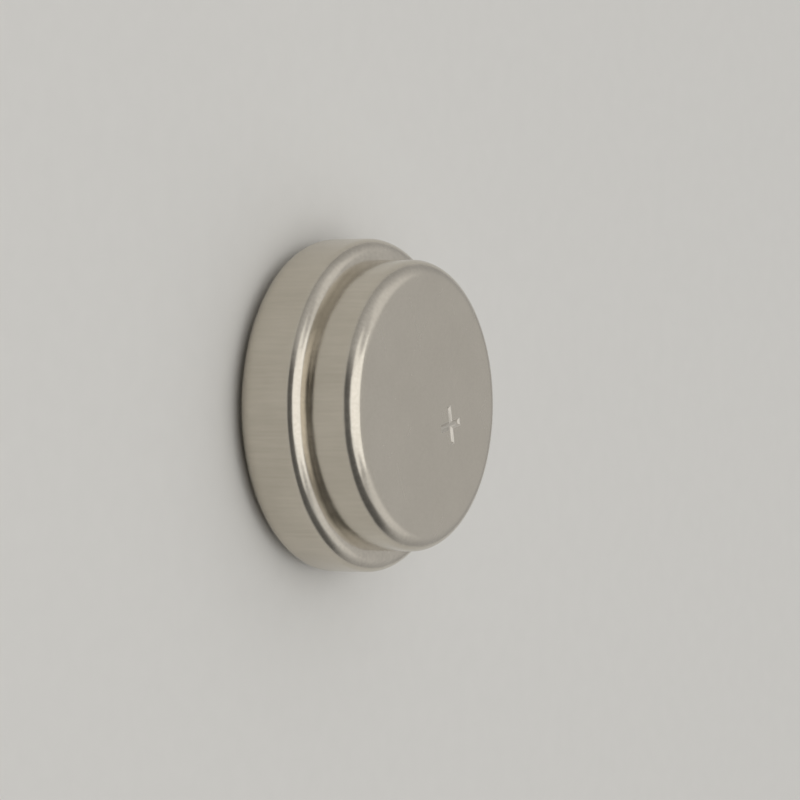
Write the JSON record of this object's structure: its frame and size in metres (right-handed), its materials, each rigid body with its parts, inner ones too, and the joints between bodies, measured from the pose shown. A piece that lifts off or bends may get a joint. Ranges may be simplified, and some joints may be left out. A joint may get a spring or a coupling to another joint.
{
  "type": "alkaline button cell",
  "caption": "Stepped round alkaline button cell: drawn steel can with a narrower positive end, a rim rolled in over a nylon seal, and a flat negative cap.",
  "frame": {"origin": "centre of the negative contact, on the plane that the cell stands on", "axes": "+Z along the cell's axis, from the negative contact to the positive face"},
  "size_m": [0.0154, 0.0154, 0.006],
  "materials": {
    "can_nickel": "satin nickel plate on drawn steel",
    "cathode_mix": "matt pressed powder",
    "barrier_sheet": "smooth damp paper",
    "absorbent_felt": "matt felted fibre",
    "zinc_gel": "damp metal powder in gel",
    "seal_nylon": "moulded nylon",
    "cap_nickel": "satin nickel plate on drawn steel"
  },
  "bodies": {
    "root": {"positive_can": "can_nickel", "cathode_pellet": "cathode_mix", "separator_disc": "barrier_sheet", "absorbent_disc": "absorbent_felt", "anode_gel": "zinc_gel", "sealing_gasket": "seal_nylon", "negative_cap": "cap_nickel"}
  },
  "joints": []
}
